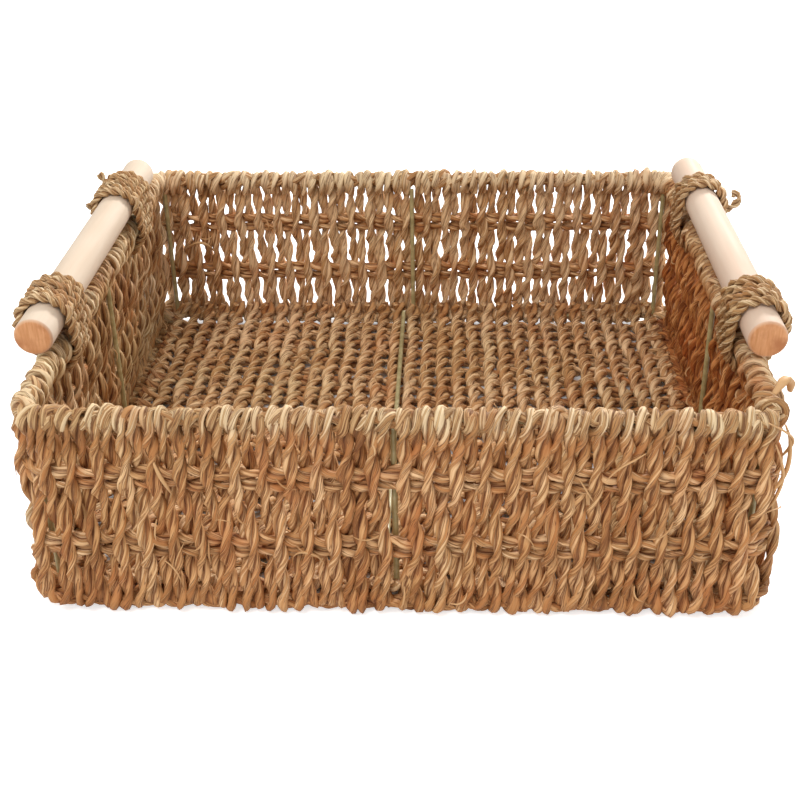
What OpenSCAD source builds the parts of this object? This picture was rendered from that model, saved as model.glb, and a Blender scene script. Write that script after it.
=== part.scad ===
// Woven seagrass basket on a painted wire frame, with two lashed dowel handles.
// Millimetres. +Z up, X along the long side, the front faces -Y.
// The origin is the middle of the base, on the surface that it stands on.

/* [Basket] */
// Outer width over the rim
basket_w = 372; // [300:1:420]
// Outer depth over the rim
basket_d = 321; // [260:1:360]
// Height of the rim above the base
basket_h = 120; // [90:1:150]

/* [Weave] */
// Radius of one warp cord of the walls
cord_r = 3.8; // [3.6:0.1:4.2]
// Distance between warp cords of the walls
cord_pitch = 6.6; // [6.2:0.1:7]
// Radius of one floor cord
floor_cord_r = 4.3; // [3.8:0.1:4.8]
// Distance between floor cords
floor_pitch = 10.7; // [10:0.1:12]
// Radius of the wrapping round the rim wire
wrap_r = 7.8; // [7:0.1:9]
// Radius of one cord of the level bands
band_r = 2.8; // [2.4:0.1:3]
// Height of the upper band's middle
upper_band_z = 79.5; // [70:0.5:85]
// Height of the lower band's middle
lower_band_z = 41; // [30:0.5:50]

/* [Wire frame] */
// Diameter of the frame's wire
wire_d = 3; // [2:0.1:3]
// Radius of the corners of the two level wires
corner_r = 10; // [9:0.5:14]
// How far forward of the middle the right mid post stands
right_post_shift = 18; // [0:1:30]
// How far left of the middle the floor wire lies
floor_wire_shift = 7; // [0:1:20]

/* [Handles] */
// Diameter of the dowels
dowel_d = 20; // [16:0.5:24]
// Length of the dowels
dowel_l = 228; // [180:1:250]
// How far behind the middle the dowels sit
dowel_y = 7; // [0:1:12]
// How far outside the rim wire the dowels' axes lie
dowel_out = 3.5; // [0:0.5:5]
// Rounding of the dowels' ends
dowel_edge = 1.5; // [0.5:0.1:3]
// Thickness of the lashing cord
lash_t = 5.5; // [4:0.1:7]
// Place of the front lashings
lash_front_y = -77; // [-85:1:-65]
// Place of the back lashings
lash_back_y = 72; // [65:1:85]
// Length of the front lashings along the dowel
lash_front_l = 34; // [24:1:40]
// Length of the left back lashing
lash_back_left_l = 38; // [24:1:40]
// Length of the right back lashing
lash_back_right_l = 24; // [20:1:40]

/* [Hidden] */
$fn = 48;
slack = 0.05;          // between fixed pieces that touch
turn_gap = 0.3;        // round the dowels, which turn
wire_r = wire_d / 2;
half_w = basket_w / 2 - wrap_r;         // the walls' middle planes
half_d = basket_d / 2 - wrap_r;
rim_z = basket_h - wrap_r;
base_z = 5;
wall_top = rim_z - wrap_r + 1.5;
band_out = 1.6;                          // bands lie outside the posts
post_in = 2 * wire_r + 0.1;              // posts stand inside the level wires
post_top = wall_top;                     // where they meet the rim's wrapping
band_step = band_r + 0.3;                // half the distance of a band's two cords
floor_w = half_w - cord_r - slack;
floor_d = half_d - cord_r - slack;
floor_plate = 3.5;
floor_cord_z = floor_cord_r + 0.1;
floor_wire_z = floor_cord_z + floor_cord_r + wire_r + slack;
front_half = half_w - 3;                 // front and back walls run past the side walls
side_half = half_d - 2 * cord_r;
dowel_r = dowel_d / 2;
dowel_rise = sqrt(pow(wrap_r + dowel_r + turn_gap, 2) - pow(dowel_out, 2));
dowel_x = half_w + dowel_out;
dowel_z = rim_z + dowel_rise;
corner_in = corner_r - (corner_r - post_in) / sqrt(2);

khaki = [0.50, 0.47, 0.31];
straw = [0.72, 0.53, 0.33];
tan_cord = [0.66, 0.47, 0.28];
brown_cord = [0.58, 0.38, 0.22];
pale_wood = [0.93, 0.85, 0.74];

// A bar of radius r between two points on a level line, along X or along Y
module bar_x(x0, x1, r) translate([x0, 0, 0]) rotate([0, 90, 0]) cylinder(r = r, h = x1 - x0);
module bar_y(y0, y1, r) translate([0, y0, 0]) rotate([-90, 0, 0]) cylinder(r = r, h = y1 - y0);

// The quarter of a level ring that turns one corner: sx and sy choose the corner
module corner_bend(w, d, bend, r, sx, sy)
  translate([sx * (w - bend), sy * (d - bend), 0])
    rotate([0, 0, sx > 0 ? (sy > 0 ? 0 : -90) : (sy > 0 ? 90 : 180)])
      rotate_extrude(angle = 90) translate([bend, 0]) circle(r = r);

// A closed level ring with rounded corners, of half sizes w and d
module level_ring(w, d, bend, r)
  union() {
    for (s = [-1, 1]) {
      translate([0, s * d, 0]) bar_x(-(w - bend), w - bend, r);
      translate([s * w, 0, 0]) bar_y(-(d - bend), d - bend, r);
      for (t = [-1, 1]) corner_bend(w, d, bend, r, s, t);
    }
  }

// The two cords of one band
module band(z, r)
  for (s = [-1, 1]) translate([0, 0, z + s * band_step])
    level_ring(half_w + band_out, half_d + band_out, corner_r, r);

// A row of upright warp cords side by side along X, as one ribbed wall
module cord_row(half_l, count)
  linear_extrude(wall_top)
    for (i = [0:count - 1])
      translate([-half_l + (2 * half_l) * i / (count - 1), 0]) circle(r = cord_r, $fn = 32);

// How many cords fill a wall of this half length
function cords_for(half_l) = round(2 * half_l / cord_pitch) + 1;

// A straight-sided slot all round the basket, for what runs inside the walls.
// It opens up at the corners, where the ring inside it bends.
module slot_ring(out, z, width, height)
  translate([0, 0, z - height / 2]) {
    difference() {
      translate([-half_w - out - width / 2, -half_d - out - width / 2, 0])
        cube([2 * (half_w + out) + width, 2 * (half_d + out) + width, height]);
      translate([-half_w - out + width / 2, -half_d - out + width / 2, -1])
        cube([2 * (half_w + out) - width, 2 * (half_d + out) - width, height + 2]);
    }
    for (s = [-1, 1], t = [-1, 1])
      translate([s * (half_w + out) - corner_r, t * (half_d + out) - corner_r, 0])
        cube([2 * corner_r, 2 * corner_r, height]);
  }

// Everything that runs inside the walls, a little larger, to be cut out of them
module wall_cuts() {
  for (z = [upper_band_z, lower_band_z])
    slot_ring(band_out, z, 2 * (band_r + slack), 2 * (band_step + band_r + slack));
  slot_ring(0, base_z, wire_d + 2 * slack, wire_d + 2 * slack);
  for (s = [-1, 1]) {
    post_groove([0, s * (half_d - post_in)]);
    post_groove([s * (half_w - post_in), s > 0 ? -right_post_shift : 0]);
  }
}

// The groove that a mid post stands in
module post_groove(p)
  translate([p[0] - wire_r - slack, p[1] - wire_r - slack, -1])
    cube([wire_d + 2 * slack, wire_d + 2 * slack, basket_h]);

module rim_wire() color(khaki) translate([0, 0, rim_z]) level_ring(half_w, half_d, corner_r, wire_r);
module base_wire() color(khaki) translate([0, 0, base_z]) level_ring(half_w, half_d, corner_r, wire_r);

// An upright wire of the frame
module post(x, y) color(khaki)
  translate([x, y, floor_wire_z]) cylinder(r = wire_r, h = post_top - floor_wire_z);
module corner_post(sx, sy) post(sx * (half_w - corner_in), sy * (half_d - corner_in));

module floor_wire() color(khaki)
  translate([-floor_wire_shift, 0, floor_wire_z]) bar_y(-floor_d + 0.2, floor_d - 0.2, wire_r);

// Front and back walls (s = -1 or 1), then left and right walls
module long_wall(s) color(straw) difference() {
  translate([0, s * half_d, 0]) cord_row(front_half, cords_for(front_half));
  wall_cuts();
}
module short_wall(s) color(tan_cord) difference() {
  translate([s * half_w, 0, 0]) rotate([0, 0, 90]) cord_row(side_half, cords_for(side_half));
  wall_cuts();
}

// The floor: cords that run from front to back, on the crossing cords below them
module floor_weave() color(tan_cord) intersection() {
  union() {
    translate([-floor_w, -floor_d, 0]) cube([2 * floor_w, 2 * floor_d, floor_plate]);
    for (x = [-16:16]) translate([x * floor_pitch, 0, floor_cord_z])
      bar_y(-floor_d, floor_d, floor_cord_r);
  }
  translate([-floor_w, -floor_d, 0]) cube([2 * floor_w, 2 * floor_d, 3 * floor_cord_r]);
}

// Cord wrapped round the rim wire; the long sides' wraps turn the corners
module wrap_core(len_bar) difference() {
  children();
  translate([0, 0, rim_z]) level_ring(half_w, half_d, corner_r, wire_r + slack);
  translate([-basket_w, -basket_d, 0]) cube([2 * basket_w, 2 * basket_d, wall_top + slack]);
}
module long_rim_wrap(s) color(straw) wrap_core() union() {
  translate([0, s * half_d, rim_z]) bar_x(-(half_w - corner_r), half_w - corner_r, wrap_r);
  for (t = [-1, 1]) translate([0, 0, rim_z]) corner_bend(half_w, half_d, corner_r, wrap_r, t, s);
}
module short_rim_wrap(s) color(straw) wrap_core()
  translate([s * half_w, 0, rim_z])
    bar_y(-(half_d - corner_r) + slack, half_d - corner_r - slack, wrap_r);

// Outline of a loop pulled tight round two circles, a at [ax, ay] and b at the origin
function tight_loop(ax, ay, ra, rb) =
  [for (t = [0:7.5:359]) let (c = cos(t), s = sin(t))
    ax * c + ay * s + ra > rb ? [ax + ra * c, ay + ra * s] : [rb * c, rb * s]];

// Outline of a lashing, seen along the dowel: it loops round the dowel and the wrapped rim
module lashing_outline() difference() {
  polygon(tight_loop(dowel_out, dowel_rise, dowel_r + turn_gap + lash_t, wrap_r + lash_t));
  translate([dowel_out, dowel_rise]) circle(r = dowel_r + turn_gap, $fn = 96);
  circle(r = wrap_r + slack);
  translate([-cord_r - slack, -2 * wrap_r]) square([2 * (cord_r + slack), 2 * wrap_r]);
}
module lashing(s, y, len) color(brown_cord)
  translate([s * half_w, y + len / 2, rim_z]) rotate([90, 0, 0])
    linear_extrude(len) mirror([s < 0 ? 1 : 0, 0]) lashing_outline();

// A dowel with rounded ends, turning about its own axis
module handle(s) color(pale_wood)
  translate([s * dowel_x, dowel_y - dowel_l / 2, dowel_z]) rotate([-90, 0, 0])
    rotate_extrude($fn = 96) {
      square([dowel_r - dowel_edge, dowel_l]);
      translate([0, dowel_edge]) square([dowel_r, dowel_l - 2 * dowel_edge]);
      for (z = [dowel_edge, dowel_l - dowel_edge])
        translate([dowel_r - dowel_edge, z]) circle(r = dowel_edge);
    }

rim_wire();
base_wire();
corner_post(-1, -1);  // front_left_post
corner_post(1, -1);  // front_right_post
corner_post(-1, 1);  // back_left_post
corner_post(1, 1);  // back_right_post
post(0, -half_d + post_in);  // front_mid_post
post(0, half_d - post_in);  // back_mid_post
post(-half_w + post_in, 0);  // left_mid_post
post(half_w - post_in, -right_post_shift);  // right_mid_post
floor_wire();
long_wall(-1);  // front_wall_weave
long_wall(1);  // back_wall_weave
short_wall(-1);  // left_wall_weave
short_wall(1);  // right_wall_weave
floor_weave();
color(brown_cord) band(upper_band_z, band_r);  // upper_band
color(brown_cord) band(lower_band_z, band_r);  // lower_band
long_rim_wrap(-1);  // front_rim_wrap
long_rim_wrap(1);  // back_rim_wrap
short_rim_wrap(-1);  // left_rim_wrap
short_rim_wrap(1);  // right_rim_wrap
lashing(-1, lash_front_y, lash_front_l);  // left_front_lashing
lashing(-1, lash_back_y, lash_back_left_l);  // left_back_lashing
lashing(1, lash_front_y, lash_front_l);  // right_front_lashing
lashing(1, lash_back_y, lash_back_right_l);  // right_back_lashing
handle(-1);  // left_handle
handle(1);  // right_handle
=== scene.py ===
import math
import random

import bpy
from mathutils import Matrix, Vector


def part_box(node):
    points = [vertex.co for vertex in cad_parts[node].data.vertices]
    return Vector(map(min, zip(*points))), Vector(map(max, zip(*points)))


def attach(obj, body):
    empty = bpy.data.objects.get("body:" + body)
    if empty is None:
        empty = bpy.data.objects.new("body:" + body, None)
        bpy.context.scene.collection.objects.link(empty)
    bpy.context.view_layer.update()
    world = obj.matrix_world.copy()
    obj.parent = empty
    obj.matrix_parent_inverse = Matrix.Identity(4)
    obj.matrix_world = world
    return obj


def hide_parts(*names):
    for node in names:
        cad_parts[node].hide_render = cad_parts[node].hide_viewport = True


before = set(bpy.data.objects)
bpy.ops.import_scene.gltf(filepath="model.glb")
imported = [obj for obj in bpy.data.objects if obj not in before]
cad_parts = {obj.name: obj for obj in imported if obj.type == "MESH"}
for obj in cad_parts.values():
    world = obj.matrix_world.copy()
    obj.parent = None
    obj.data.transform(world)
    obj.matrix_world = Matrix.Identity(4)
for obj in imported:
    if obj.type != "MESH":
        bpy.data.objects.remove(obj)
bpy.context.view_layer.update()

MM = 0.001
TURN = 2 * math.pi
UP = Vector((0, 0, 1))
SIDES = ("front", "right", "back", "left")


# ------------------------------------------------------------ sizes, from the frame
def middle(node):
    low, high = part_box(node)
    return (low + high) / 2


def span(node):
    low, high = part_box(node)
    return high - low


wire_r = span("rim_wire").z / 2
half_w = span("rim_wire").x / 2 - wire_r
half_d = span("rim_wire").y / 2 - wire_r
rim_z = middle("rim_wire").z
upper_z = middle("upper_band").z
lower_z = middle("lower_band").z
dowel_r = span("left_handle").x / 2
dowel_z = middle("left_handle").z
dowel_out = middle("right_handle").x - half_w
corner_r = 10 * MM

LONG = 2 * (half_w - corner_r)
SHORT = 2 * (half_d - corner_r)
BEND = TURN / 4 * corner_r
AROUND = 2 * (LONG + SHORT) + 4 * BEND


# ------------------------------------------------------------ the walls' middle line
def around(s):
    """Point on the walls' middle line and its outward direction, s along it from the front's middle."""
    s = (s + LONG / 2) % AROUND
    for quarter, length in enumerate((LONG, SHORT, LONG, SHORT)):
        angle = quarter * TURN / 4
        heading = Vector((math.cos(angle), math.sin(angle), 0))
        outward = Vector((math.sin(angle), -math.cos(angle), 0))
        reach = (half_d, half_w)[quarter % 2]
        if s <= length:
            break
        s -= length
        if s <= BEND:
            turned = s / corner_r
            normal = outward * math.cos(turned) + heading * math.sin(turned)
            pivot = heading * (length / 2) + outward * (reach - corner_r)
            return pivot + normal * corner_r, normal
        s -= BEND
    return heading * (min(s, length) - length / 2) + outward * reach, outward


def at_wall(s, out, z):
    point, outward = around(s)
    return point + outward * out + UP * z


def apart(a, b):
    """How far a lies past b on the closed middle line."""
    return (a - b + AROUND / 2) % AROUND - AROUND / 2


# Where each side starts along the middle line; the front and the back take the corners
side_length = {"front": LONG + 2 * BEND, "right": SHORT, "back": LONG + 2 * BEND, "left": SHORT}
side_start = {"front": -LONG / 2 - BEND}
for before, side in zip(SIDES, SIDES[1:]):
    side_start[side] = side_start[before] + side_length[before]


def side_of(s):
    return next(side for side in SIDES
                if (s - side_start[side]) % AROUND < side_length[side] + 1e-9)


post_places = [
    middle("front_mid_post").x,
    side_start["right"] + SHORT / 2 + middle("right_mid_post").y,
    AROUND / 2 - middle("back_mid_post").x,
    side_start["left"] + SHORT / 2 - middle("left_mid_post").y,
]
post_places += [side_start["front"] + BEND / 2 + k for k in (0, LONG + BEND)]
post_places += [side_start["back"] + BEND / 2 + k for k in (0, LONG + BEND)]


def beside_posts(s):
    """Moves a cord aside where it would hide an upright wire."""
    push = 0
    for place in post_places[:4]:
        away = apart(s, place)
        push += math.copysign(1.5 * MM * math.exp(-(away / (8 * MM)) ** 2), away)
    for place in (LONG / 2 + BEND / 2, AROUND - LONG / 2 - BEND / 2):
        away = apart(s, place)
        push += math.copysign(3.0 * MM * math.exp(-(away / (9 * MM)) ** 2), away)
    return s + push


# ------------------------------------------------------------ node trees
def add(tree, kind, inputs=(), **settings):
    """Adds a node, sets its properties, and joins or fills its inputs by name or number."""
    node = tree.nodes.new(kind)
    for name, value in settings.items():
        setattr(node, name, value)
    for key, value in dict(inputs).items():
        if isinstance(value, bpy.types.NodeSocket):
            tree.links.new(value, node.inputs[key])
        else:
            node.inputs[key].default_value = value
    return node


def maths(tree, operation, a, b=0.0):
    return add(tree, "ShaderNodeMath", {0: a, 1: b}, operation=operation).outputs[0]


def vector_maths(tree, operation, a, b):
    key = "Scale" if operation == "SCALE" else 1
    return add(tree, "ShaderNodeVectorMath", {0: a, key: b}, operation=operation).outputs[0]


def noise(tree, vector, scale, detail=2.0, **inputs):
    values = {"Vector": vector, "Scale": scale, "Detail": detail, **inputs}
    dimensions = "4D" if "W" in inputs else "3D"
    return add(tree, "ShaderNodeTexNoise", values, noise_dimensions=dimensions).outputs[0]


def spread(tree, value, low, high, new_low, new_high):
    """Maps a value from one range onto another and holds it there."""
    numbers = {0: value, 1: low, 2: high, 3: new_low, 4: new_high}
    return add(tree, "ShaderNodeMapRange", numbers, clamp=True).outputs[0]


def named(tree, name, data_type="FLOAT"):
    node = add(tree, "GeometryNodeInputNamedAttribute", {"Name": name}, data_type=data_type)
    return node.outputs["Attribute"]


def store(tree, geometry, name, value, data_type="FLOAT"):
    values = {"Geometry": geometry, "Name": name, "Value": value}
    node = add(tree, "GeometryNodeStoreNamedAttribute", values, data_type=data_type, domain="POINT")
    return node.outputs["Geometry"]


def new_tree(name, sizes):
    """An empty Geometry Nodes tree with one named input per size, and a material."""
    tree = bpy.data.node_groups.new(name, "GeometryNodeTree")
    tree.interface.new_socket("Geometry", in_out="INPUT", socket_type="NodeSocketGeometry")
    for label, value in sizes.items():
        kind = "NodeSocketInt" if isinstance(value, int) else "NodeSocketFloat"
        tree.interface.new_socket(label, in_out="INPUT", socket_type=kind).default_value = value
    tree.interface.new_socket("Material", in_out="INPUT", socket_type="NodeSocketMaterial")
    tree.interface.new_socket("Geometry", in_out="OUTPUT", socket_type="NodeSocketGeometry")
    return tree, tree.nodes.new("NodeGroupInput").outputs


def close_tree(tree, given, meshes):
    """Joins the meshes, smooths them, realises them and gives them the material."""
    join = tree.nodes.new("GeometryNodeJoinGeometry")
    for mesh in meshes:
        tree.links.new(mesh, join.inputs[0])
    smooth = add(tree, "GeometryNodeSetShadeSmooth", {"Geometry": join.outputs[0]})
    real = add(tree, "GeometryNodeRealizeInstances", {"Geometry": smooth.outputs[0]})
    finish = {"Geometry": real.outputs[0], "Material": given["Material"]}
    painted = add(tree, "GeometryNodeSetMaterial", finish)
    add(tree, "NodeGroupOutput", {0: painted.outputs[0]})


def centre_curve(tree, given):
    """The centre lines as smooth curves, with the length along each stored as along."""
    line = add(tree, "GeometryNodeMeshToCurve", {"Mesh": given["Geometry"]})
    bent = add(tree, "GeometryNodeCurveSplineType", {"Curve": line.outputs[0]},
               spline_type="CATMULL_ROM")
    cut = {"Curve": bent.outputs[0], "Length": given["Step"]}
    curve = add(tree, "GeometryNodeResampleCurve", cut, mode="LENGTH").outputs[0]
    along = tree.nodes.new("GeometryNodeSplineParameter").outputs["Length"]
    return store(tree, curve, "along", along)


def fibre_surface(tree, curve, given, radius, flatness, number):
    """Sweeps a ridged, flattened section along a curve and marks how its fibres run."""
    circle = add(tree, "GeometryNodeCurvePrimitiveCircle",
                 {"Resolution": given["Sides"], "Radius": 1.0}).outputs[0]
    factor = tree.nodes.new("GeometryNodeSplineParameter").outputs["Factor"]
    circle = store(tree, circle, "turned", maths(tree, "MULTIPLY", factor, TURN))
    section = add(tree, "GeometryNodeTransform",
                  {"Geometry": circle, "Scale": (1 / flatness, flatness, 1)}).outputs[0]
    swept = add(tree, "GeometryNodeCurveToMesh",
                {"Curve": curve, "Profile Curve": section, "Scale": radius, "Fill Caps": True})
    along = named(tree, "along")
    lean = maths(tree, "MULTIPLY", along, given["Fibre Lean"])
    turned = maths(tree, "ADD", named(tree, "turned"), lean)
    fibre = add(tree, "ShaderNodeCombineXYZ", {
        0: maths(tree, "COSINE", turned),
        1: maths(tree, "SINE", turned),
        2: maths(tree, "MULTIPLY", along, 100.0)}).outputs[0]
    mesh = store(tree, swept.outputs[0], "fibre", fibre, "FLOAT_VECTOR")
    # outer is 1 on a ply's outer side and -1 on its inner side. The seagrass material uses it to paint shade
    # on the inner side.
    mesh = store(tree, mesh, "outer", maths(tree, "COSINE", named(tree, "turned")))
    run = vector_maths(tree, "MULTIPLY", named(tree, "fibre", "FLOAT_VECTOR"), (1, 1, 0.5))
    draw = maths(tree, "ADD", maths(tree, "MULTIPLY", named(tree, "tone"), 91.0), number * 7.3)
    ridge = noise(tree, run, 1.3, 1.0, W=draw)
    ridge = maths(tree, "MULTIPLY", maths(tree, "SUBTRACT", ridge, 0.5), given["Ridges"])
    ridge = maths(tree, "MULTIPLY", ridge, named(tree, "girth"))
    normal = tree.nodes.new("GeometryNodeInputNormal").outputs[0]
    raised = add(tree, "GeometryNodeSetPosition",
                 {"Geometry": mesh, "Offset": vector_maths(tree, "SCALE", normal, ridge)})
    slow = noise(tree, run, 0.5, 1.0, W=draw)
    shade = maths(tree, "ADD", named(tree, "tone"), spread(tree, slow, 0.3, 0.7, -0.16, 0.16))
    return store(tree, raised.outputs[0], "shade", shade)


def twisted_cord_tree():
    """Two plies twisted round each centre line, whose points carry tone, phase and girth."""
    tree, given = new_tree("twisted_cord", {
        "Ply Radius": 1.9 * MM, "Ply Offset": 1.5 * MM, "Turn Length": 18 * MM,
        "Step": 1.7 * MM, "Ridges": 1.3 * MM, "Fibre Lean": 0.0, "Sides": 10, "Seed": 1})
    curve = centre_curve(tree, given)
    along, phase, girth = named(tree, "along"), named(tree, "phase"), named(tree, "girth")
    drawn = maths(tree, "ADD", maths(tree, "MULTIPLY", phase, 61.0), given["Seed"])
    plies = []
    for number in range(2):
        place = add(tree, "ShaderNodeCombineXYZ", {0: maths(tree, "MULTIPLY", along, 60.0)})
        uneven = noise(tree, place.outputs[0], 1.0, 1.0, W=drawn)
        angle = maths(tree, "MULTIPLY", maths(tree, "DIVIDE", along, given["Turn Length"]), TURN)
        angle = maths(tree, "ADD", angle, maths(tree, "MULTIPLY", phase, TURN))
        angle = maths(tree, "ADD", angle, spread(tree, uneven, 0.2, 0.8, -0.75, 0.75))
        angle = maths(tree, "ADD", angle, number * TURN / 2)
        outward = add(tree, "ShaderNodeVectorRotate", {
            "Vector": tree.nodes.new("GeometryNodeInputNormal").outputs[0],
            "Axis": tree.nodes.new("GeometryNodeInputTangent").outputs[0],
            "Angle": angle}, rotation_type="AXIS_ANGLE").outputs[0]
        marked = store(tree, curve, "outward", outward, "FLOAT_VECTOR")
        outward = named(tree, "outward", "FLOAT_VECTOR")
        reach = maths(tree, "MULTIPLY", given["Ply Offset"], girth)
        moved = add(tree, "GeometryNodeSetPosition",
                    {"Geometry": marked, "Offset": vector_maths(tree, "SCALE", outward, reach)})
        faced = add(tree, "GeometryNodeSetCurveNormal",
                    {"Curve": moved.outputs[0], "Normal": outward}, mode="FREE").outputs[0]
        swell = noise(tree, place.outputs[0], 2.1, 1.0, W=maths(tree, "ADD", drawn, 9.0 + number))
        radius = maths(tree, "MULTIPLY", given["Ply Radius"], girth)
        radius = maths(tree, "MULTIPLY", radius, spread(tree, swell, 0.2, 0.8, 0.8, 1.2))
        plies.append(fibre_surface(tree, faced, given, radius, 0.88, number))
    close_tree(tree, given, plies)
    return tree


def blade_tree():
    """One thin tapering blade of grass along each centre line."""
    tree, given = new_tree("grass_blade", {
        "Width": 0.5 * MM, "Step": 2 * MM, "Ridges": 0.1 * MM, "Fibre Lean": 0.0, "Sides": 6})
    curve = centre_curve(tree, given)
    radius = maths(tree, "MULTIPLY", given["Width"], named(tree, "girth"))
    close_tree(tree, given, [fibre_surface(tree, curve, given, radius, 0.7, 0)])
    return tree


CORD, BLADE = twisted_cord_tree(), blade_tree()


class Lines:
    """Centre lines of cords. Each point has a tone, a twist phase and a girth."""

    def __init__(self, seed):
        self.points, self.edges = [], []
        self.marks = {"tone": [], "phase": [], "girth": []}
        self.chance = random.Random(seed)

    def add(self, points, tone=0.5, girth=1.0):
        phase = self.chance.random()
        first = len(self.points)
        self.points += points
        self.edges += [(k, k + 1) for k in range(first, len(self.points) - 1)]
        girths = girth if isinstance(girth, list) else [girth] * len(points)
        self.marks["tone"] += [tone] * len(points)
        self.marks["phase"] += [phase] * len(points)
        self.marks["girth"] += girths

    def swing(self, size):
        return self.chance.uniform(-size, size)


def grow(name, lines, tree, values, material):
    """Runs a tree on centre lines and keeps the result as a plain mesh."""
    mesh = bpy.data.meshes.new(name + "_lines")
    mesh.from_pydata(lines.points, lines.edges, [])
    for label, numbers in lines.marks.items():
        mesh.attributes.new(label, "FLOAT", "POINT").data.foreach_set("value", numbers)
    carrier = bpy.data.objects.new(name + "_lines", mesh)
    bpy.context.scene.collection.objects.link(carrier)
    modifier = carrier.modifiers.new("grow", "NODES")
    modifier.node_group = tree
    values = {**values, "Material": material}
    for item in tree.interface.items_tree:
        if item.in_out == "INPUT" and item.name in values:
            modifier[item.identifier] = values[item.name]
    bpy.context.view_layer.update()
    ready = carrier.evaluated_get(bpy.context.evaluated_depsgraph_get())
    grown = bpy.data.meshes.new_from_object(ready)
    bpy.data.objects.remove(carrier)
    for vertex in grown.vertices:
        vertex.co.z = max(vertex.co.z, 0.1 * MM + 0.1 * max(-3 * MM, vertex.co.z))
    for attribute in [a for a in grown.attributes if a.name in ("outward", "turned", "along")]:
        grown.attributes.remove(attribute)
    piece = bpy.data.objects.new(name, grown)
    bpy.context.scene.collection.objects.link(piece)
    return piece


def fit(piece, slot, body, *nodes):
    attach(piece, body)
    if nodes:
        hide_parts(*nodes)


# ------------------------------------------------------------ materials
def ramp(tree, value, stops):
    node = add(tree, "ShaderNodeValToRGB", {0: value})
    elements = node.color_ramp.elements
    while len(elements) < len(stops):
        elements.new(0.5)
    for element, (place, colour) in zip(elements, stops):
        element.position = place
        element.color = (*colour, 1)
    return node.outputs[0]


def mix(tree, factor, a, b, blend="MIX"):
    node = add(tree, "ShaderNodeMix", data_type="RGBA", blend_type=blend)
    for key, value in ((0, factor), (6, a), (7, b)):
        if isinstance(value, bpy.types.NodeSocket):
            tree.links.new(value, node.inputs[key])
        else:
            node.inputs[key].default_value = value
    return node.outputs[2]


def shader_group(name, inputs, outputs):
    group = bpy.data.node_groups.new(name, "ShaderNodeTree")
    for direction, sockets in (("INPUT", inputs), ("OUTPUT", outputs)):
        for label, kind in sockets.items():
            group.interface.new_socket(label, in_out=direction, socket_type="NodeSocket" + kind)
    given = group.nodes.new("NodeGroupInput").outputs
    made = group.nodes.new("NodeGroupOutput").inputs
    return group, given, made


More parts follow.
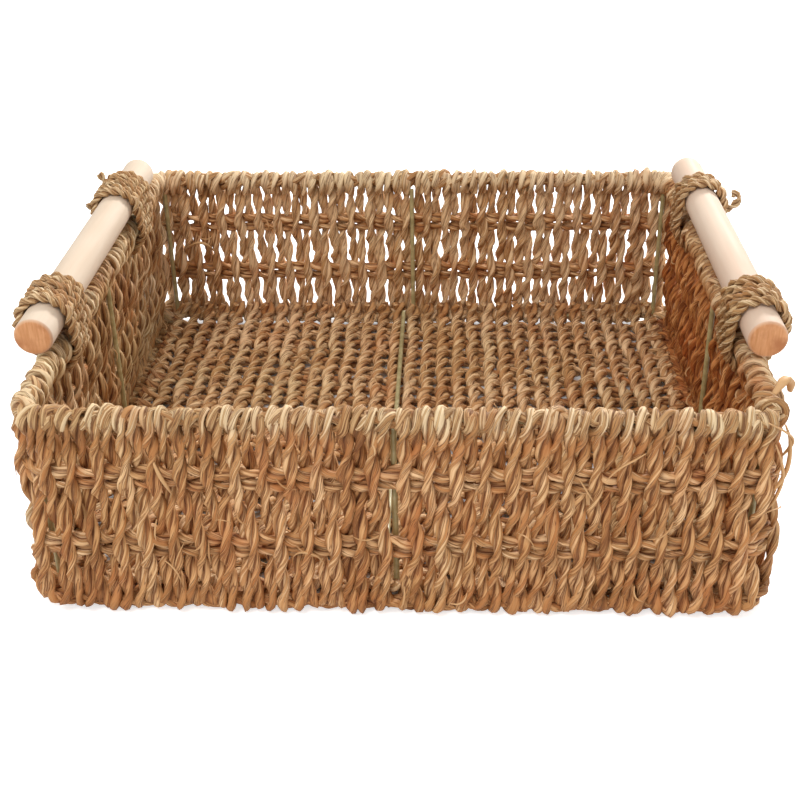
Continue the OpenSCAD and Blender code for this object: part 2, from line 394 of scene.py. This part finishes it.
def seagrass_group():
    """Colour, roughness and fine height of dried seagrass, along the fibres of a cord. The colour also
    carries painted shade between the blades and on the plies' inner sides, painted light towards the rim, and
    a tone lift and reddening per piece that are partly the grass's own colour and partly painted light and
    shade.
    """
    group, given, made = shader_group(
        "seagrass", {"Warmth": "Float", "Green": "Float", "Light": "Float", "Redness And Shade": "Float"},
        {"Color": "Color", "Roughness": "Float", "Height": "Float"})
    fibre = add(group, "ShaderNodeAttribute", attribute_name="fibre").outputs["Vector"]
    shade = add(group, "ShaderNodeAttribute", attribute_name="shade").outputs["Fac"]
    place = group.nodes.new("ShaderNodeTexCoord").outputs["Object"]
    draw = maths(group, "MULTIPLY", shade, 3.0)
    blade = noise(group, vector_maths(group, "MULTIPLY", fibre, (1.7, 1.7, 0.45)), 1.0, 2.0, W=draw)
    thread = noise(group, vector_maths(group, "MULTIPLY", fibre, (4.5, 4.5, 0.7)), 1.0, 2.5, W=draw)
    patch = noise(group, place, 60.0, 2.0)
    broad = noise(group, place, 11.0, 2.0)
    tone = maths(group, "ADD", shade, spread(group, blade, 0.42, 0.58, -0.2, 0.2))
    tone = maths(group, "ADD", tone, spread(group, thread, 0.3, 0.7, -0.09, 0.09))
    # The tone lift set per piece: partly the grass's own lightness and partly painted light and shade.
    tone = maths(group, "ADD", tone, given["Light"])
    across = add(group, "ShaderNodeSeparateXYZ", {0: place}).outputs
    # Painted light: the cords are made lighter towards the top of the rim, where light from above falls on
    # it.
    painted_top_light = spread(group, across[2], rim_z - 10 * MM, rim_z + 2 * MM, 0, 1)
    tone = maths(group, "ADD", tone, maths(group, "MULTIPLY", painted_top_light, 0.12))
    colour = ramp(group, tone, [
        (0.0, (0.13, 0.055, 0.018)), (0.22, (0.30, 0.135, 0.045)), (0.42, (0.44, 0.215, 0.078)),
        (0.62, (0.52, 0.30, 0.13)), (0.82, (0.66, 0.43, 0.22)), (1.0, (0.80, 0.60, 0.37))])
    rust = maths(group, "MULTIPLY", spread(group, patch, 0.50, 0.72, 0, 1), given["Warmth"])
    colour = mix(group, rust, colour, (0.50, 0.20, 0.065, 1))
    olive = maths(group, "MULTIPLY", spread(group, broad, 0.42, 0.64, 0, 1), given["Green"])
    colour = mix(group, olive, colour, (0.80, 0.92, 0.80, 1), "MULTIPLY")
    # Painted shade: thin dark lines between the blades, and a darker inner side on each ply where the plies
    # press together and shade falls. Both are multiplied into the colour.
    between = maths(group, "ABSOLUTE", maths(group, "SUBTRACT", blade, 0.5))
    crease_shade = maths(group, "MULTIPLY", spread(group, between, 0.0, 0.03, 0.15, 1),
                   spread(group, thread, 0.28, 0.40, 0.6, 1))
    outer = add(group, "ShaderNodeAttribute", attribute_name="outer").outputs["Fac"]
    crease_shade = maths(group, "MULTIPLY", crease_shade, spread(group, outer, -0.75, -0.1, 0.2, 1))
    crease_shade = mix(group, crease_shade, (0.22, 0.10, 0.045, 1), (1, 1, 1, 1))
    colour = mix(group, 1.0, colour, crease_shade, "MULTIPLY")
    # Partly the grass's own redder tone and partly painted shade: the colour is reddened and darkened, little
    # near the rim and half as much on the outside of the right wall, so it lies most on the inner faces that
    # are in shade.
    tint_and_shade_share = maths(group, "MULTIPLY", spread(group, painted_top_light, 0, 0.8, 1, 0.1),
                 spread(group, across[0], half_w + 1 * MM, half_w + 5 * MM, 1, 0.5))
    redness_and_shade = maths(group, "MULTIPLY", given["Redness And Shade"], tint_and_shade_share)
    colour = mix(group, redness_and_shade, colour, (1.08, 0.76, 0.50, 1), "MULTIPLY")
    group.links.new(colour, made["Color"])
    group.links.new(spread(group, thread, 0.3, 0.7, 0.78, 0.52), made["Roughness"])
    height = maths(group, "ADD", spread(group, between, 0.0, 0.06, 0, 0.5), thread)
    group.links.new(height, made["Height"])
    return group


def new_material(name):
    material = bpy.data.materials.new(name)
    material.use_nodes = True
    tree = material.node_tree
    return material, tree, tree.nodes["Principled BSDF"]


def roughen(tree, shader, height, strength, distance):
    bump = add(tree, "ShaderNodeBump",
               {"Height": height, "Strength": strength, "Distance": distance})
    tree.links.new(bump.outputs[0], shader.inputs["Normal"])


SEAGRASS = seagrass_group()


# The light value lifts or lowers the cords' tone, and the reddening value reddens and darkens them. Per piece
# these are partly the grass's own colour and partly painted light and painted shade for how light falls on
# it.
def grass(name, warmth=0.5, green=0.3, light=0.0, redness_and_shade=0.0):
    material, tree, shader = new_material(name)
    group = add(tree, "ShaderNodeGroup", node_tree=SEAGRASS)
    settings = {"Warmth": warmth, "Green": green, "Light": light, "Redness And Shade": redness_and_shade}
    for label, value in settings.items():
        group.inputs[label].default_value = value
    tree.links.new(group.outputs["Color"], shader.inputs["Base Color"])
    tree.links.new(group.outputs["Roughness"], shader.inputs["Roughness"])
    shader.inputs["Specular IOR Level"].default_value = 0.35
    roughen(tree, shader, group.outputs["Height"], 0.9, 0.45 * MM)
    return material


def pale_grass():
    """The smooth skin of single blades of grass."""
    material, tree, shader = new_material("pale_grass")
    shade = add(tree, "ShaderNodeAttribute", attribute_name="shade").outputs["Fac"]
    colour = ramp(tree, shade, [(0.3, (0.44, 0.22, 0.08)), (0.6, (0.58, 0.33, 0.14)),
                                (0.9, (0.72, 0.48, 0.25))])
    tree.links.new(colour, shader.inputs["Base Color"])
    shader.inputs["Roughness"].default_value = 0.6
    return material


def dowel_wood(name, side_colour, grain_colour):
    """Pale sanded wood with soft grain, and warmer end faces with rings and dark patches."""
    material, tree, shader = new_material(name)
    place = tree.nodes.new("ShaderNodeTexCoord").outputs["Object"]
    end = add(tree, "ShaderNodeAttribute", attribute_name="end").outputs["Fac"]
    stretched = vector_maths(tree, "MULTIPLY", place, (1, 0.06, 1))
    grain = noise(tree, stretched, 260.0, 4.0)
    cloud = noise(tree, vector_maths(tree, "MULTIPLY", place, (1, 0.3, 1)), 45.0, 2.0)
    value = maths(tree, "ADD", maths(tree, "MULTIPLY", grain, 0.35), maths(tree, "MULTIPLY", cloud, 0.65))
    side = mix(tree, spread(tree, value, 0.35, 0.68, 0, 1), side_colour, grain_colour)
    slanted = add(tree, "ShaderNodeMapping", {"Vector": place, "Rotation": (0, 0.75, 0),
                                              "Scale": (1, 1, 0.12)}).outputs[0]
    rings = noise(tree, slanted, 900.0, 3.0)
    blot = noise(tree, place, 80.0, 4.0)
    face = ramp(tree, spread(tree, rings, 0.32, 0.68, 0, 1),
                [(0, (0.56, 0.25, 0.10)), (1, (0.68, 0.34, 0.16))])
    face = mix(tree, spread(tree, blot, 0.48, 0.66, 0, 0.85), face, (0.42, 0.16, 0.06, 1))
    colour = mix(tree, end, side, face)
    tree.links.new(colour, shader.inputs["Base Color"])
    tree.links.new(spread(tree, grain, 0.3, 0.7, 0.62, 0.78), shader.inputs["Roughness"])
    shader.inputs["Specular IOR Level"].default_value = 0.3
    roughen(tree, shader, maths(tree, "ADD", grain, rings), 0.18, 0.2 * MM)
    return material


def wire_paint():
    """Khaki paint with small scuffs."""
    material, tree, shader = new_material("khaki_paint")
    place = tree.nodes.new("ShaderNodeTexCoord").outputs["Object"]
    worn = noise(tree, place, 220.0, 4.0)
    colour = ramp(tree, worn, [(0.35, (0.32, 0.26, 0.115)), (0.6, (0.44, 0.37, 0.18)),
                               (0.75, (0.52, 0.45, 0.25))])
    tree.links.new(colour, shader.inputs["Base Color"])
    tree.links.new(spread(tree, worn, 0.3, 0.7, 0.5, 0.36), shader.inputs["Roughness"])
    roughen(tree, shader, worn, 0.25, 0.1 * MM)
    return material


# ------------------------------------------------------------ walls
WALL_CORDS = 198
PITCH = AROUND / WALL_CORDS
IN_FRONT, BEHIND = 3.6 * MM, -2.6 * MM
wall_places = [beside_posts((k + 0.5) * PITCH) for k in range(WALL_CORDS)]
# Per wall, the tone lift and the reddening follow how light falls on each wall. The back wall is painted
# lighter, as painted light, and the inside of the right wall darker and redder, as painted shade. Warmth and
# green stay the grass's own colour.
wall_grass = {
    "front": grass("front_wall_grass", 0.5, 0.2, 0.15, 0.5),
    "right": grass("right_wall_grass", 0.8, 0.05, 0.02, 1.0),
    "back": grass("back_wall_grass", 0.45, 0.15, 0.48, 0.3),
    "left": grass("left_wall_grass", 0.4, 0.45, 0.16, 0.05),
}
CORD_LAY = {"Ply Radius": 1.95 * MM, "Ply Offset": 1.55 * MM, "Turn Length": 38 * MM,
            "Step": 1.7 * MM, "Ridges": 3.0 * MM, "Fibre Lean": -15.0}
BACK_LAY = {**CORD_LAY, "Ply Radius": 2.2 * MM, "Ply Offset": 1.25 * MM}


def patchy_tone(s, lines, size=0.15):
    """Neighbouring cords share a tone, as they come from one hank of grass."""
    return 0.5 + 0.07 * math.sin(s * 37) + 0.07 * math.sin(s * 91 + 1) + lines.swing(size)


def near_corner(s):
    """1 at a corner post, falling to nothing along the sides."""
    corner = min(abs(apart(s, place)) for place in post_places[4:])
    return math.exp(-(corner / (14 * MM)) ** 2)


def flare(s, z):
    """How far the weave stands out from the upright wires: more towards the base and at the corners."""
    share = max(0, 1 - z / (rim_z - 10 * MM)) ** 0.8
    return share * (4 + 3.5 * near_corner(s)) * MM


def wall_cord(lines, s, over_upper, pair):
    """A cord from inside the rim's wrapping, past the bands, and under the floor's edge."""
    high, low = (IN_FRONT, BEHIND) if over_upper else (BEHIND, IN_FRONT)
    between = (upper_z + lower_z) / 2
    route = [
        (rim_z - 9 * MM, -1.6 * MM, -0.5), (rim_z - 1 * MM, -3.9 * MM, -0.5),
        (rim_z + 3.4 * MM, -0.6 * MM, 0), (rim_z + 0.5 * MM, 3.4 * MM, 0),
        (rim_z - 7 * MM, 2.6 * MM, 0.3),
        (upper_z + 14 * MM, 0.4 * high + 0.5 * MM, 0.5), (upper_z + 4 * MM, high, 0),
        (upper_z - 4 * MM, high, 0), (between, 0.5 * MM, 0.7),
        (lower_z + 4 * MM, low, 0), (lower_z - 4 * MM, low, 0),
        (lower_z - 15 * MM, 0.4 * low + 0.6 * MM, 0.6), (14 * MM, 1.0 * MM, 0.5),
        (9 * MM, 1.8 * MM, 0.3), (5.6 * MM, 0.4 * MM, 0.1), (5.4 * MM, -5 * MM, 0),
        (5.4 * MM, -11 * MM, 0)]
    lean = lines.swing(1.2 * MM)
    size = 1 + lines.swing(0.12)
    points, girths = [], []
    for k, (z, out, drawn) in enumerate(route):
        z += 4.5 * MM * near_corner(s) * max(0, 1 - z / (50 * MM))
        share = 1 - k / (len(route) - 1)
        sideways = pair * drawn * MM + lean * (share - 0.5) * 2 + lines.swing(0.45 * MM)
        points.append(at_wall(s + sideways, out + flare(s, z) + lines.swing(0.4 * MM), z))
        at_foot = 1.32 if z < 10 * MM else 1
        at_corner = 1 + (0.2 * near_corner(s) if side_of(s) == "back" else 0)
        girths.append(size * at_foot * at_corner)
    girths[0] = girths[-1] = 0.8
    lines.add(points, patchy_tone(s, lines), girths)


def foot_line(side):
    """A cord along the foot of a wall, which the wall's cords turn round."""
    start, length = side_start[side], side_length[side]
    places = [start + length * k / 40 for k in range(41)]
    return [at_wall(s, flare(s, 0) - 0.8 * MM, (6 + 4.5 * near_corner(s)) * MM) for s in places]


def build_walls():
    for number, side in enumerate(SIDES):
        lines = Lines(10 + number)
        for k, s in enumerate(wall_places):
            if side_of(s) == side:
                wall_cord(lines, s, k % 2 == 0, 1 if k % 4 in (0, 2) else -1)
        lines.add(foot_line(side), 0.36, 1.1)
        lay = BACK_LAY if side == "back" else CORD_LAY
        piece = grow(f"{side}_wall_cords", lines, CORD, lay, wall_grass[side])
        fit(piece, "wall_cord", "basket", f"{side}_wall_weave")


def build_bands():
    """Two cords per band; they sink in behind each cord that passes in front."""
    material = grass("band_grass", 0.7, 0.1, 0.10, 0.4)
    for number, (name, z, first) in enumerate((("upper_band", upper_z, 0), ("lower_band", lower_z, 1))):
        lines = Lines(30 + number)
        for step, girth in ((3.4 * MM, 1.12), (-3.3 * MM, 0.94)):
            start = WALL_CORDS // 2 + 25
            points = []
            for k in range(start, start + WALL_CORDS + 2):
                s = wall_places[k % WALL_CORDS]
                out = (-0.5 if k % 2 == first else 1.1 - 2.2 * near_corner(s)) * MM
                out += flare(s, z) + lines.swing(0.3 * MM)
                points.append(at_wall(s, out, z + step + lines.swing(0.4 * MM)))
            lines.add(points, 0.58, [girth + lines.swing(0.1) for _ in points])
        lay = {**CORD_LAY, "Ply Radius": 1.8 * MM, "Ply Offset": 1.35 * MM, "Turn Length": 42 * MM}
        piece = grow(f"{name}_cords", lines, CORD, lay, material)
        fit(piece, "band_cord", "basket", name)


def build_rim():
    """Cord wound round the rim wire, turn by turn."""
    winding = 10 * MM
    per_turn = 8
    lay = {**CORD_LAY, "Ply Radius": 1.85 * MM, "Ply Offset": 1.55 * MM, "Turn Length": 48 * MM}
    for number, side in enumerate(SIDES):
        lines = Lines(40 + number)
        start, length = side_start[side], side_length[side]
        turns = round(length / winding)
        points, girths = [], []
        wander = bulk = 0
        for k in range(turns * per_turn + 1):
            if k % per_turn == 0:
                wander, bulk = lines.swing(2.2 * MM), lines.swing(0.2)
            angle = TURN * k / per_turn
            s = start + length * k / (turns * per_turn) + wander * math.sin(angle / 2) ** 2
            s -= 0.5 * winding * math.sin(angle) / TURN
            radius = (2.7 + 3 * bulk) * MM
            out = radius * math.cos(angle)
            points.append(at_wall(s, out, rim_z - 0.3 * MM + radius * math.sin(angle)))
            girths.append(1 + bulk)
        lines.add(points, 0.6, girths)
        count = round(length / (10 * MM))
        core = [at_wall(start + length * k / count, 0, rim_z) for k in range(count + 1)]
        lines.add(core, 0.45, 1.15)
        material = grass(f"{side}_rim_grass", 0.45, 0.15, -0.02, 0.2)
        fit(grow(f"{side}_rim_cord", lines, CORD, lay, material), "wrap_cord", "basket",
            f"{side}_rim_wrap")


# ------------------------------------------------------------ floor
# How the floor's cords turn up into a wall: distance from it and height, in millimetres
FLOOR_EDGE = [(-1, 16), (0.5, 11), (5, 7)]


def build_floor():
    """Fat cords from front to back, over and under crossing cords."""
    material = grass("floor_grass", 0.45, 0.35, 0.34, 0.4)
    reach_x, reach_y = half_w - 3 * MM, half_d - 3 * MM
    column, row = 10.7 * MM, 12.6 * MM
    rows = [-reach_y + 10 * MM + row * k for k in range(int((2 * reach_y - 12 * MM) / row) + 1)]
    lines = Lines(60)
    for k in range(-16, 17):
        points = [Vector((k * column, -reach_y + away * MM, z * MM)) for away, z in FLOOR_EDGE]
        for number, y in enumerate(rows):
            lift = (6.8 if (k + number) % 2 == 0 else 5.6) * MM
            lift += lines.swing(0.6 * MM)
            points.append(Vector((k * column + lines.swing(1.3 * MM), y + lines.swing(2 * MM), lift)))
        points += [Vector((k * column, reach_y - away * MM, z * MM)) for away, z in reversed(FLOOR_EDGE)]
        girth = [1 + lines.swing(0.12) for _ in points]
        lines.add(points, 0.5 + lines.swing(0.16), girth)
    lay = {**CORD_LAY, "Ply Radius": 2.35 * MM, "Ply Offset": 2.05 * MM, "Turn Length": 23 * MM,
           "Step": 2.1 * MM, "Ridges": 2.4 * MM}
    fit(grow("floor_cords", lines, CORD, lay, material), "floor_cord", "basket", "floor_weave")
    lines = Lines(61)
    for number, y in enumerate(rows):
        points = []
        points += [Vector((-reach_x + away * MM, y, z * MM)) for away, z in FLOOR_EDGE[1:]]
        for k in range(-15, 16):
            lift = (3.0 if (k + number) % 2 == 0 else 4.4) * MM
            points.append(Vector((k * column, y + lines.swing(0.9 * MM), lift)))
        points += [Vector((reach_x - away * MM, y, z * MM)) for away, z in reversed(FLOOR_EDGE[1:])]
        lines.add(points, 0.55 + lines.swing(0.15))
    lay = {**lay, "Ply Radius": 1.8 * MM, "Ply Offset": 1.4 * MM, "Turn Length": 38 * MM}
    fit(grow("floor_crossing_cords", lines, CORD, lay, grass("crossing_grass", 0.6, 0.1, 0.06, 0.4)),
        "floor_cord", "basket", "floor_weave")


# ------------------------------------------------------------ lashings
def tight_loop(steps):
    """Points of a loop round the dowel, the wrapped rim and a gap in the wall, seen along the dowel."""
    rings = ((dowel_out, dowel_z, dowel_r + 3.1 * MM), (0, rim_z, 10.2 * MM),
             (0, rim_z - 13 * MM, 2.5 * MM))
    loop = []
    for k in range(steps):
        angle = TURN * (k / steps - 0.25)
        c, s = math.cos(angle), math.sin(angle)
        x, z, r = max(rings, key=lambda ring: ring[0] * c + ring[1] * s + ring[2])
        loop.append((x + r * c, z + r * s))
    return loop


LASH_LAY = {**CORD_LAY, "Ply Radius": 1.5 * MM, "Ply Offset": 1.25 * MM, "Turn Length": 13 * MM,
            "Step": 1.5 * MM, "Ridges": 1.1 * MM}


def lashing(name, sign, turns, tails):
    low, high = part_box(name)
    centre, length = (low.y + high.y) / 2, high.y - low.y
    lines = Lines(name)
    loop = tight_loop(24)
    bottom, top = min(z for _, z in loop), max(z for _, z in loop)
    points = []
    slants = [lines.swing(1.6 * MM) for _ in range(turns + 1)]
    for k in range(turns * len(loop)):
        x, z = loop[k % len(loop)]
        share = k / (turns * len(loop))
        rise = (z - bottom) / (top - bottom)
        slant = slants[k // len(loop)] * math.cos(TURN * k / len(loop))
        along = (share - 0.5) * (length - 5 * MM) * (0.4 + 0.6 * min(1, rise * 1.5)) + slant
        lift = 1 + lines.swing(0.02)
        points.append(Vector((sign * (half_w + x * lift), centre + along, z + lines.swing(0.25 * MM))))
    lines.add(points, 0.56, 1.0)
    for route in tails:
        points = [Vector((sign * (half_w + x * MM), centre + y * MM, dowel_z + z * MM))
                  for x, y, z in route]
        lines.add(points, 0.6, 0.9)
    piece = grow(name + "_cord", lines, CORD, LASH_LAY, LASH_GRASS)
    fit(piece, "lashing_cord", "basket", name)


LASH_GRASS = grass("lashing_grass", 0.35, 0.25, 0.02, 0.1)


def build_lashings():
    lashing("left_front_lashing", -1, 6, [])
    lashing("right_front_lashing", 1, 6, [])
    stubs = [[(15, -12, 3), (18, -14, 2), (21, -15, 3)], [(14, 10, 8), (17, 12, 11), (19, 13, 13)]]
    lashing("left_back_lashing", -1, 7, stubs)
    hook = [(12, -4, -1), (17, -5, -4), (22, -5, -3), (26, -4, 1), (25, -4, 5), (22, -3, 5)]
    lashing("right_back_lashing", 1, 4, [hook])


# ------------------------------------------------------------ loose blades of grass
WALL_BLADES, FLOOR_BLADES = 110, 60


def build_loose_blades():
    """Short ends of grass that stand off the cords, inside and outside."""
    lines = Lines(80)
    for _ in range(WALL_BLADES):
        s, inside = lines.chance.uniform(0, AROUND), lines.chance.random() < 0.35
        z = lines.chance.uniform(12, 108) * MM
        outward = -1 if inside else 1
        out = (5.4 if not inside else -4.6) * MM + flare(s, z)
        length = lines.chance.uniform(5, 15) * MM
        angle = lines.chance.gauss(-TURN / 4, 0.9)
        points, girths, curl = [], [], lines.swing(1.3)
        for k in range(5):
            share = k / 4
            bend = angle + share * curl
            lift = outward * (2.2 * MM * math.sin(share * 2.6) - 1.2 * MM * (1 - share))
            points.append(at_wall(s + length * share * math.cos(bend), out + lift,
                                  max(3 * MM, z + length * share * math.sin(bend))))
            girths.append(0.25 + math.sin(0.4 + 2.6 * share))
        lines.add(points, 0.5 + lines.swing(0.2), [0.7 * girth for girth in girths])
    for _ in range(FLOOR_BLADES):
        x, y = lines.swing(half_w - 14 * MM), lines.swing(half_d - 14 * MM)
        angle, length = lines.chance.uniform(0, TURN), lines.chance.uniform(6, 16) * MM
        points = [Vector((x + length * share * math.cos(angle + share),
                          y + length * share * math.sin(angle + share),
                          (9 + 3 * math.sin(share * 3)) * MM)) for share in (0, 0.25, 0.5, 0.75, 1)]
        lines.add(points, 0.55 + lines.swing(0.15), [0.25, 0.7, 0.85, 0.6, 0.15])
    for start, route, width in LONG_BLADES:
        points = [at_wall(start + s * MM, out * MM, z * MM) for s, out, z in route]
        girths = [width * (0.3 + math.sin(0.3 + 2.6 * k / (len(route) - 1))) for k in range(len(route))]
        lines.add(points, 0.6, girths)
    piece = grow("loose_blades", lines, BLADE, {"Width": 0.42 * MM, "Step": 1.5 * MM}, pale_grass())
    fit(piece, "wall_cord", "basket")


# Longer blades: where each starts along the wall, its route as along, out and height, its width
FRONT_RIGHT = LONG / 2 + BEND / 2
LONG_BLADES = [
    (FRONT_RIGHT, [(-6, 7, 116), (-1, 8, 110), (3, 9.5, 103), (5, 9, 96), (5, 6, 90)], 1.5),
    (FRONT_RIGHT, [(2, 6, 110), (4, 8.5, 100), (3, 9.5, 88), (0, 8.5, 80), (-3, 6, 74)], 1.9),
    (FRONT_RIGHT, [(-2, 6, 102), (0, 8, 92), (1, 9, 82), (-1, 8.5, 72), (-3, 6, 64)], 1.9),
    (FRONT_RIGHT, [(0, 6, 84), (4, 9, 82), (8, 11, 83), (11, 12, 85)], 0.7),
    (FRONT_RIGHT, [(-8, 6, 60), (-3, 8.5, 66), (2, 9, 64), (6, 9, 60)], 0.7),
    (side_start["right"], [(4, 0, 119), (7, 4, 123), (11, 7, 123), (14, 10, 119), (16, 11, 113)], 3.8),
    (AROUND - LONG / 2 + 54 * MM, [(0, 5, 93), (2, 7, 88), (4, 7.5, 83), (6, 7, 78), (7, 5, 73)], 1.3),
    (AROUND - LONG / 2 + 118 * MM, [(0, 6, 36), (3, 8, 40), (7, 9, 41), (12, 8, 38), (15, 7, 33)], 1.4),
    (LONG / 2 - 60 * MM, [(-8, 7, 84), (-3, 9, 92), (4, 9, 97), (9, 8, 100)], 1.3),
    (AROUND / 2 + LONG / 2 - 26 * MM,
     [(0, -5, 60), (4, -8, 66), (9, -9, 68), (14, -8, 66), (19, -5, 62)], 3.0),
]


# ------------------------------------------------------------ handles
def build_handle(name, sign, wood):
    """A sanded dowel: round edges, very slightly out of true."""
    low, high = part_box(name)
    axis = (low + high) / 2
    edge, sides = 1.5 * MM, 72
    rings = [(0.0, 0, 1), (0.35 * dowel_r, 0, 1), (0.7 * dowel_r, 0, 1)]
    rings += [(dowel_r - edge, 0, 1)]
    rings += [(dowel_r - edge + edge * math.sin(a), edge - edge * math.cos(a), 1 - a / 2)
              for a in (TURN / 16, TURN / 8, 3 * TURN / 16)]
    length = high.y - low.y
    body = [(dowel_r, edge + (length - 2 * edge) * k / 40, 0) for k in range(41)]
    rings = rings + body + [(r, length - y, e) for r, y, e in reversed(rings)]
    vertices, ends, faces = [], [], []
    for r, y, end in rings:
        true = 1 - 0.006 * (0.5 + 0.5 * math.sin(y * 43 + sign))
        if r == 0:
            vertices.append((axis.x, low.y + y, axis.z))
            ends.append(end)
            continue
        for k in range(sides):
            angle = TURN * k / sides
            vertices.append((axis.x + r * true * math.cos(angle), low.y + y,
                             axis.z + r * true * math.sin(angle)))
            ends.append(end)
    last = len(vertices) - 1
    for k in range(sides):
        after = (k + 1) % sides
        faces.append((0, 1 + k, 1 + after))
        faces.append((last, last - sides + after, last - sides + k))
        for ring in range(len(rings) - 3):
            start = 1 + ring * sides
            faces.append((start + k, start + sides + k, start + sides + after, start + after))
    mesh = bpy.data.meshes.new(name + "_dowel")
    mesh.from_pydata(vertices, [], faces)
    mesh.attributes.new("end", "FLOAT", "POINT").data.foreach_set("value", ends)
    mesh.shade_smooth()
    mesh.materials.append(wood)
    piece = bpy.data.objects.new(name + "_dowel", mesh)
    bpy.context.scene.collection.objects.link(piece)
    fit(piece, "handle_wood", name.replace("handle", "dowel"), name)


# ------------------------------------------------------------ stage, light and camera
def build_stage():
    bpy.ops.mesh.primitive_plane_add(size=8)
    floor = bpy.context.object
    floor.name = "studio_floor"
    material, tree, shader = new_material("studio_white")
    shader.inputs["Base Color"].default_value = (0.95, 0.95, 0.95, 1)
    shader.inputs["Roughness"].default_value = 0.9
    shader.inputs["Emission Color"].default_value = (1, 1, 1, 1)
    place = tree.nodes.new("ShaderNodeTexCoord").outputs["Object"]
    beyond = vector_maths(tree, "DIVIDE", place, (half_w - 2 * MM, half_d - 2 * MM, 1))
    across = add(tree, "ShaderNodeSeparateXYZ", {0: beyond}).outputs
    beyond = maths(tree, "MAXIMUM", maths(tree, "ABSOLUTE", across[0]), maths(tree, "ABSOLUTE", across[1]))
    edge = spread(tree, beyond, 0.97, 1.0, 0, 0.6)
    seen = tree.nodes.new("ShaderNodeLightPath").outputs["Is Camera Ray"]
    tree.links.new(maths(tree, "MULTIPLY", edge, seen), shader.inputs["Emission Strength"])
    floor.data.materials.append(material)


def soft_light(name, place, size, watts, colour=(1, 1, 1)):
    light = bpy.data.lights.new(name, "AREA")
    light.shape = "DISK"
    light.size = size
    light.energy = watts
    light.color = colour
    lamp = bpy.data.objects.new(name, light)
    lamp.location = place
    aim = Vector((0, 0, 0.06)) - lamp.location
    lamp.rotation_euler = aim.to_track_quat("-Z", "Y").to_euler()
    bpy.context.scene.collection.objects.link(lamp)


def build_light():
    world = bpy.data.worlds.new("white_room")
    world.use_nodes = True
    bpy.context.scene.world = world
    bpy.context.scene.view_settings.view_transform = "Standard"
    tree = world.node_tree
    seen = tree.nodes.new("ShaderNodeLightPath").outputs["Is Camera Ray"]
    tree.links.new(spread(tree, seen, 0, 1, 0.86, 1), tree.nodes["Background"].inputs["Strength"])
    tree.nodes["Background"].inputs["Color"].default_value = (1, 1, 1, 1)
    soft_light("key", (-0.35, -0.75, 1.4), 0.7, 9)
    soft_light("back", (0.7, 1.25, 0.9), 0.35, 24)


def build_camera():
    camera = bpy.data.cameras.new("camera")
    camera.lens = 53.5
    camera.sensor_width = 36
    camera.shift_y = -0.125
    down, turned, rolled = math.radians(27.22), math.radians(-2.71), math.radians(-1.15)
    ahead = Vector((math.sin(turned) * math.cos(down), math.cos(turned) * math.cos(down),
                    -math.sin(down)))
    level = Vector((math.cos(turned), -math.sin(turned), 0))
    above = level.cross(ahead)
    right = level * math.cos(rolled) + above * math.sin(rolled)
    top = above * math.cos(rolled) - level * math.sin(rolled)
    eye = bpy.data.objects.new("camera", camera)
    turn = Matrix((right, top, -ahead)).transposed().to_4x4()
    eye.matrix_world = Matrix.Translation((26.7 * MM, -619.2 * MM, 415.4 * MM)) @ turn
    bpy.context.scene.collection.objects.link(eye)
    bpy.context.scene.camera = eye


build_camera()
build_light()
build_stage()
build_walls()
build_bands()
build_rim()
build_floor()
build_lashings()
build_loose_blades()
build_handle("left_handle", -1, dowel_wood("left_dowel_wood", (0.66, 0.54, 0.42, 1), (0.58, 0.45, 0.33, 1)))
build_handle("right_handle", 1, dowel_wood("right_dowel_wood", (0.67, 0.53, 0.41, 1), (0.62, 0.45, 0.335, 1)))

paint = wire_paint()
for name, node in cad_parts.items():
    if name.endswith(("_wire", "_post")):
        node.data.materials.clear()
        node.data.materials.append(paint)
